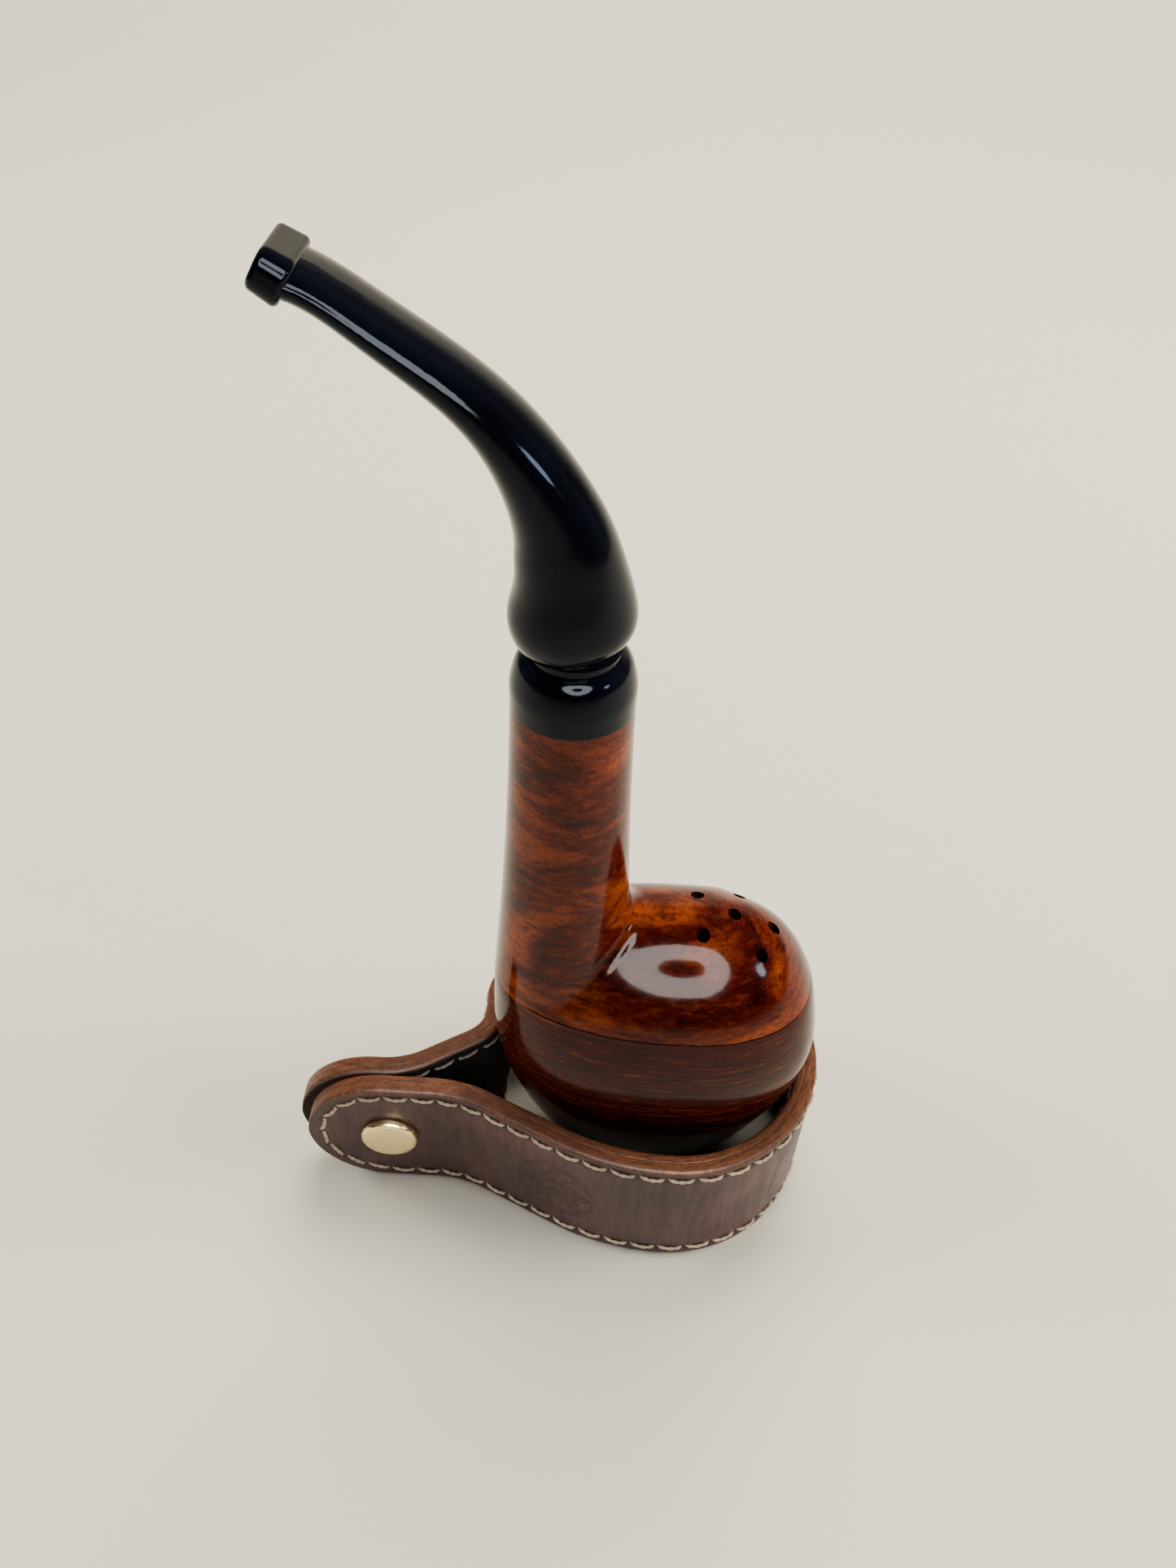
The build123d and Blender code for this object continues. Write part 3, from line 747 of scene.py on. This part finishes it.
def ring_lamp():
    """A round lamp with an open middle, which shows as a ring in polished wood."""
    points, faces = [], []
    around = 64
    for radius in (RING_INNER, RING_OUTER):
        for j in range(around):
            turn = FULL_TURN * j / around
            points.append(Vector((radius * math.cos(turn), radius * math.sin(turn), 0)))
    for j in range(around):
        k = (j + 1) % around
        faces.append((j, k, around + k, around + j))
    material = bpy.data.materials.new("ring_lamp_glow")
    material.use_nodes = True
    tree = material.node_tree
    tree.nodes.clear()
    glow = tree.nodes.new("ShaderNodeEmission")
    glow.inputs[0].default_value = RING_TINT
    glow.inputs[1].default_value = RING_STRENGTH
    output = tree.nodes.new("ShaderNodeOutputMaterial")
    tree.links.new(glow.outputs[0], output.inputs[0])
    lamp = mesh_piece("ring_lamp", points, faces, [material])
    aim(lamp, RING_PLACE)
    lamp.visible_diffuse = False


def floor_and_backdrop():
    """A floor that bends up behind the object into a backdrop."""
    turn_y = FLOOR_DEPTH - FLOOR_BEND
    profile = [(FLOOR_FRONT, 0.0), (turn_y, 0.0)]
    for i in range(1, FLOOR_BEND_STEPS + 1):
        angle = QUARTER_TURN * i / FLOOR_BEND_STEPS
        profile.append((turn_y + FLOOR_BEND * math.sin(angle), FLOOR_BEND * (1 - math.cos(angle))))
    profile.append((FLOOR_DEPTH, BACKDROP_HEIGHT))
    points = [(x, y, z - FLOOR_SINK) for y, z in profile for x in (-FLOOR_HALF_WIDTH, FLOOR_HALF_WIDTH)]
    faces = [(2 * i, 2 * i + 1, 2 * i + 3, 2 * i + 2) for i in range(len(profile) - 1)]
    floor = mesh_piece("stage_floor", points, faces, [stage_floor()])


def studio_camera():
    """A camera that looks down on the object from in front, a little rolled."""
    pitch, roll = math.radians(CAMERA_PITCH), math.radians(CAMERA_ROLL)
    right = Vector((math.cos(roll), math.sin(roll) * math.sin(pitch), math.sin(roll) * math.cos(pitch)))
    up = Vector((-math.sin(roll), math.cos(roll) * math.sin(pitch), math.cos(roll) * math.cos(pitch)))
    back = Vector((0, -math.cos(pitch), math.sin(pitch)))
    turn = Matrix((right, up, back)).transposed().to_4x4()
    camera = bpy.data.cameras.new("studio_camera")
    camera.sensor_width = SENSOR
    camera.lens = FOCAL_LENGTH
    camera.clip_start, camera.clip_end = 0.005, 20
    view = bpy.data.objects.new("studio_camera", camera)
    x, y, z = CAMERA_PLACE
    place = Vector((x + SHANK_X, y + SHANK_Y, z)) * MM
    view.matrix_world = Matrix.Translation(place) @ turn
    bpy.context.scene.collection.objects.link(view)
    return view


# ---- operators -----------------------------------------------------------------------------
class PIPE_OT_outer_leather(bpy.types.Operator):
    """Outer leather of the stand with its stitch holes, creases and rosette"""

    bl_idname = "pipe_stand.outer_leather"
    bl_label = "Outer leather"

    def execute(self, context):
        strap = the_strap()
        sizes = strap.sizes
        low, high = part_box("rivet_cap")
        rivet_x = (low.x + high.x) / 2
        tail_x = (STRAP_CORNERS[0][0] + SHANK_X) * MM
        rivet_s = rivet_x - tail_x
        grid = {}
        for s, z in strap.holes:
            grid.setdefault(round(s / HOLE_GRID), []).append((s, z))
        rng = random.Random(4)
        creases = [(rng.uniform(14, 36) * MM, rng.uniform(-0.25, 0.25), rng.uniform(0.25, 0.5) * MM,
                    rng.uniform(0.03, 0.10) * MM, rng.uniform(5, 20) * MM) for _ in range(CREASES)]

        def dents(s, z):
            depth = 0.0
            cell = round(s / HOLE_GRID)
            for key in (cell - 1, cell, cell + 1):
                for hole_s, hole_z in grid.get(key, ()):
                    away = (s - hole_s) ** 2 + (z - hole_z) ** 2
                    depth += HOLE_DEPTH * math.exp(-away / HOLE_RADIUS ** 2)
            for row in (sizes.row_low, sizes.row_high):
                depth += GROOVE_DEPTH * hump(z, row, GROOVE_HALF_WIDTH)
            depth += ROSETTE_DEPTH * rosette_depth(s - ROSETTE_ALONG, z - ROSETTE_HEIGHT, sizes.rosette / 2)
            for centre, slant, width, deep, middle in creases:
                off = s - centre - slant * (z - middle)
                depth += deep * hump(off, 0, width) * hump(z, middle, CREASE_SPREAD)
            away = math.hypot(s - rivet_s, z - strap.height / 2)
            depth += RIVET_DENT_DEPTH * hump(away, RIVET_DENT_RADIUS, RIVET_DENT_HALF_WIDTH)
            return depth

        half = strap.thick / 2
        joint = half - sizes.outer_ply
        face, edge, inside = strap_face(), strap_edge(), strap_lining()
        piece = ply_mesh(strap, "stand_outer_leather", joint, half, (JOINT_ROUND, sizes.edge_round), dents,
                         [face, edge, inside])
        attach(piece, "stand")
        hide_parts("strap_outer")
        return {"FINISHED"}


class PIPE_OT_lining_leather(bpy.types.Operator):
    """Lining leather of the stand"""

    bl_idname = "pipe_stand.lining_leather"
    bl_label = "Lining leather"

    def execute(self, context):
        strap = the_strap()
        half = strap.thick / 2
        joint = half - strap.sizes.outer_ply
        inside = strap_lining()
        rounds = (strap.sizes.edge_round, JOINT_ROUND)
        piece = ply_mesh(strap, "stand_lining_leather", -half, joint, rounds, None,
                         [inside, strap_edge(), inside])
        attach(piece, "stand")
        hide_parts("strap_lining")
        return {"FINISHED"}


class PIPE_OT_stitching(bpy.types.Operator):
    """Twisted waxed thread on both faces of the strap"""

    bl_idname = "pipe_stand.stitching"
    bl_label = "Stitching"

    def execute(self, context):
        strap = the_strap()
        radius = strap.sizes.thread / 2
        rng = random.Random(11)
        points, faces = [], []
        for seam in strap.seams:
            slant = rng.uniform(0.10, 0.24) * MM
            inset = rng.uniform(0.20, 0.32) * MM
            for out in (1, -1):
                for strand in range(2):
                    line = strand_line(strap, seam, strand, slant, inset, out, radius)
                    tube, tube_faces = tube_strand(line, radius * 0.72)
                    base = len(points)
                    points += tube
                    faces += [tuple(base + v for v in face) for face in tube_faces]
        piece = mesh_piece("stand_stitching", points, faces, [waxed_thread()])
        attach(piece, "stand")
        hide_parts("stitching")
        return {"FINISHED"}


class PIPE_OT_rivet(bpy.types.Operator):
    """Front and back of the brass rivet"""

    bl_idname = "pipe_stand.rivet"
    bl_label = "Rivet"

    def execute(self, context):
        brass = polished_brass()
        for node, name, face, rise, post in RIVET_SIDES:
            low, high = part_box(node)
            x, z = (low.x + high.x) / 2, (low.z + high.z) / 2
            radius = (high.x - low.x) / 2
            top = low.y if face < 0 else high.y
            profile = [(0.06 * radius, 0.0)]
            profile += [(share * radius, -drop * rise) for share, drop in RIVET_PROFILE]
            profile += [(post, -1.15 * rise), (post, -RIVET_DEPTH), (post * 0.5, -RIVET_DEPTH)]
            piece = turned_piece(name, profile, (x, top, z), (0, face, 0), brass)
            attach(piece, "stand")
            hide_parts(node)
        return {"FINISHED"}


class PIPE_OT_wood(bpy.types.Operator):
    """Briar on both halves of the bowl"""

    bl_idname = "pipe_stand.wood"
    bl_label = "Briar"

    def execute(self, context):
        give_finish("bowl_cap", upper_briar())
        give_finish("bowl_base", lower_briar())
        return {"FINISHED"}


class PIPE_OT_mouthpiece(bpy.types.Operator):
    """Black mouthpiece, tenon and shank ring"""

    bl_idname = "pipe_stand.mouthpiece"
    bl_label = "Mouthpiece"

    def execute(self, context):
        acrylic = black_acrylic()
        give_finish("stem", acrylic)
        give_finish("shank_ring", acrylic)
        give_finish("stem_tenon", plain_finish("tenon_satin", (0.03, 0.03, 0.03), 0.4))
        return {"FINISHED"}


class PIPE_OT_inner_parts(bpy.types.Operator):
    """Pivot, washers and filter inside the pipe"""

    bl_idname = "pipe_stand.inner_parts"
    bl_label = "Inner parts"

    def execute(self, context):
        turned = plain_finish("turned_brass", tone("brass"), 0.3, 1.0, 2.0, 0.01)
        for node in ("pivot_bush", "pivot_tube", "pivot_nut"):
            give_finish(node, turned)
        steel = plain_finish("spring_steel_face", (0.55, 0.55, 0.56), 0.3, 1.0, 2.5, 0.01)
        give_finish("spring_washer", steel)
        give_finish("pivot_washer", plain_finish("red_fibre", (0.34, 0.06, 0.03), 0.6))
        paper = plain_finish("filter_paper_face", (0.80, 0.79, 0.74), 0.85, 0.0, 1.8, 0.04)
        give_finish("filter_tube", paper)
        caps = plain_finish("filter_cap_face", (0.76, 0.76, 0.73), 0.6)
        give_finish("filter_cap_lower", caps)
        give_finish("filter_cap_upper", caps)
        charcoal = plain_finish("charcoal_grains", (0.02, 0.02, 0.02), 0.8, 0.0, 1.6, 0.4)
        give_finish("filter_charcoal", charcoal)
        return {"FINISHED"}


class PIPE_OT_stage(bpy.types.Operator):
    """Floor, backdrop, lights and camera"""

    bl_idname = "pipe_stand.stage"
    bl_label = "Stage"

    def execute(self, context):
        floor_and_backdrop()
        world = bpy.data.worlds.new("studio")
        world.use_nodes = True
        light_room(world)
        context.scene.world = world
        ring_lamp()
        for lamp in LAMPS:
            disk_lamp(*lamp)
        bpy.context.scene.camera = studio_camera()
        return {"FINISHED"}


OPERATORS = (PIPE_OT_outer_leather, PIPE_OT_lining_leather, PIPE_OT_stitching, PIPE_OT_rivet,
             PIPE_OT_wood, PIPE_OT_mouthpiece, PIPE_OT_inner_parts, PIPE_OT_stage)


class PIPE_PT_panel(bpy.types.Panel):
    """Sizes, colours and pieces of the pipe and its stand"""

    bl_idname = "PIPE_PT_panel"
    bl_label = "Pipe stand"
    bl_space_type = "VIEW_3D"
    bl_region_type = "UI"
    bl_category = "Pipe stand"

    def draw(self, context):
        for group in (context.scene.pipe_stand, context.scene.pipe_finishes):
            for key in group.bl_rna.properties.keys():
                if key not in ("rna_type", "name"):
                    self.layout.prop(group, key)
        for operator in OPERATORS:
            self.layout.operator(operator.bl_idname)


CLASSES = (StandSizes, FinishColours) + OPERATORS + (PIPE_PT_panel,)


def register():
    for cls in CLASSES:
        bpy.utils.register_class(cls)
    bpy.types.Scene.pipe_stand = bpy.props.PointerProperty(type=StandSizes)
    bpy.types.Scene.pipe_finishes = bpy.props.PointerProperty(type=FinishColours)


def unregister():
    del bpy.types.Scene.pipe_finishes
    del bpy.types.Scene.pipe_stand
    for cls in reversed(CLASSES):
        bpy.utils.unregister_class(cls)


def main():
    register()
    for operator in OPERATORS:
        group, name = operator.bl_idname.split(".")
        getattr(getattr(bpy.ops, group), name)()


if __name__ == "__main__":
    main()
